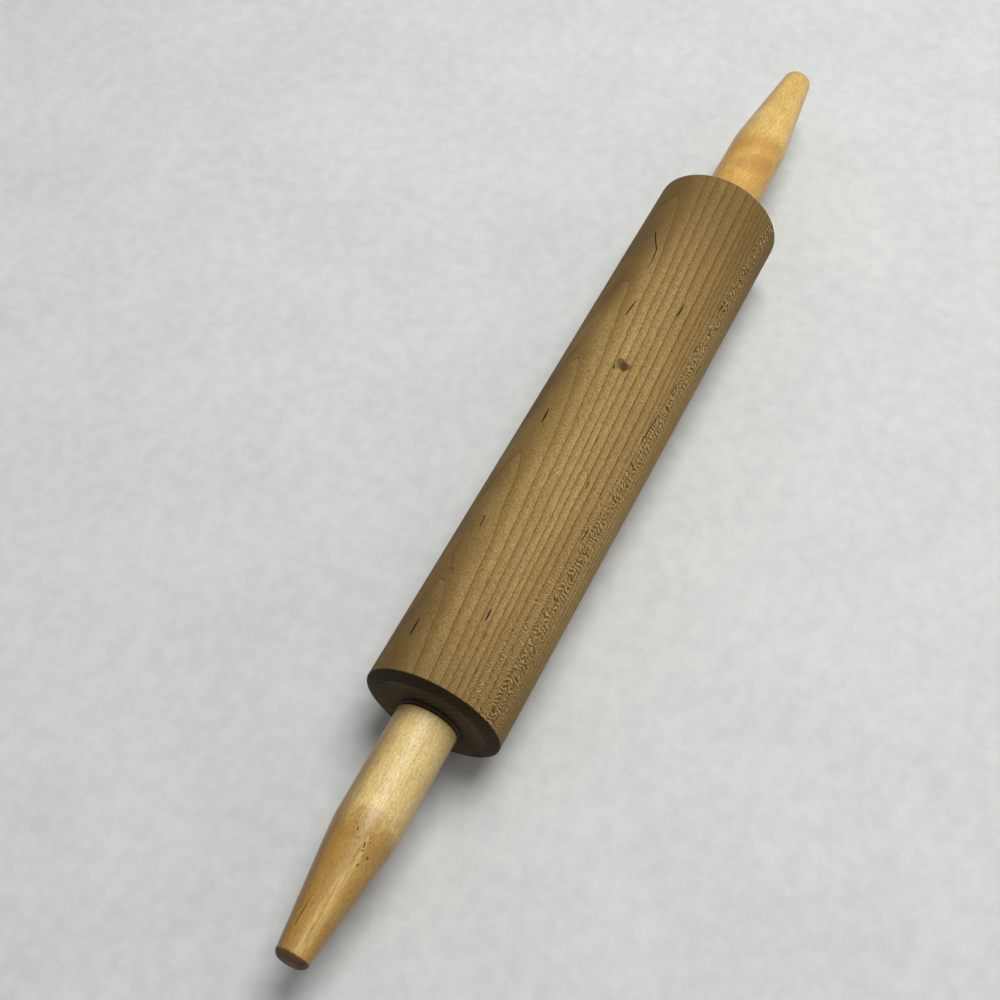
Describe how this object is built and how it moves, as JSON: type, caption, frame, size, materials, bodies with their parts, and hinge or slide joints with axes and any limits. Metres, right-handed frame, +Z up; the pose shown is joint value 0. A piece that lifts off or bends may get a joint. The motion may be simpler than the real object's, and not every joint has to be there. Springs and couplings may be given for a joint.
{
  "type": "rolling pin",
  "caption": "Wooden rolling pin: a turned barrel that rolls on a steel centre rod between two tapered wooden handles.",
  "frame": {"origin": "on the table, under the middle of the barrel", "axes": "+X along the pin towards the right handle (the far one in the picture), +Z up"},
  "size_m": [0.4402, 0.0518, 0.0519],
  "materials": {
    "barrel_wood": "worn oiled maple, satin",
    "handle_wood": "aged varnish, satin",
    "rod_steel": "drawn bar",
    "nylon_bush": "moulded, matte",
    "fibre_washer": "vulcanised fibre, matte"
  },
  "bodies": {
    "barrel": {"barrel": "barrel_wood", "bush_left": "nylon_bush", "bush_right": "nylon_bush"},
    "spindle": {"centre_rod": "rod_steel", "handle_left": "handle_wood", "handle_right": "handle_wood"},
    "left_washer": {"washer_left": "fibre_washer"},
    "right_washer": {"washer_right": "fibre_washer"}
  },
  "joints": [
    {"name": "spindle_spin", "type": "hinge", "parent": "barrel", "child": "spindle", "pos_m": [0, 0, 0.02595], "axis": [1, 0, 0], "continuous": true},
    {"name": "left_washer_spin", "type": "hinge", "parent": "spindle", "child": "left_washer", "pos_m": [-0.12775, 0, 0.02595], "axis": [1, 0, 0], "continuous": true},
    {"name": "right_washer_spin", "type": "hinge", "parent": "spindle", "child": "right_washer", "pos_m": [0.12775, 0, 0.02595], "axis": [1, 0, 0], "continuous": true}
  ]
}
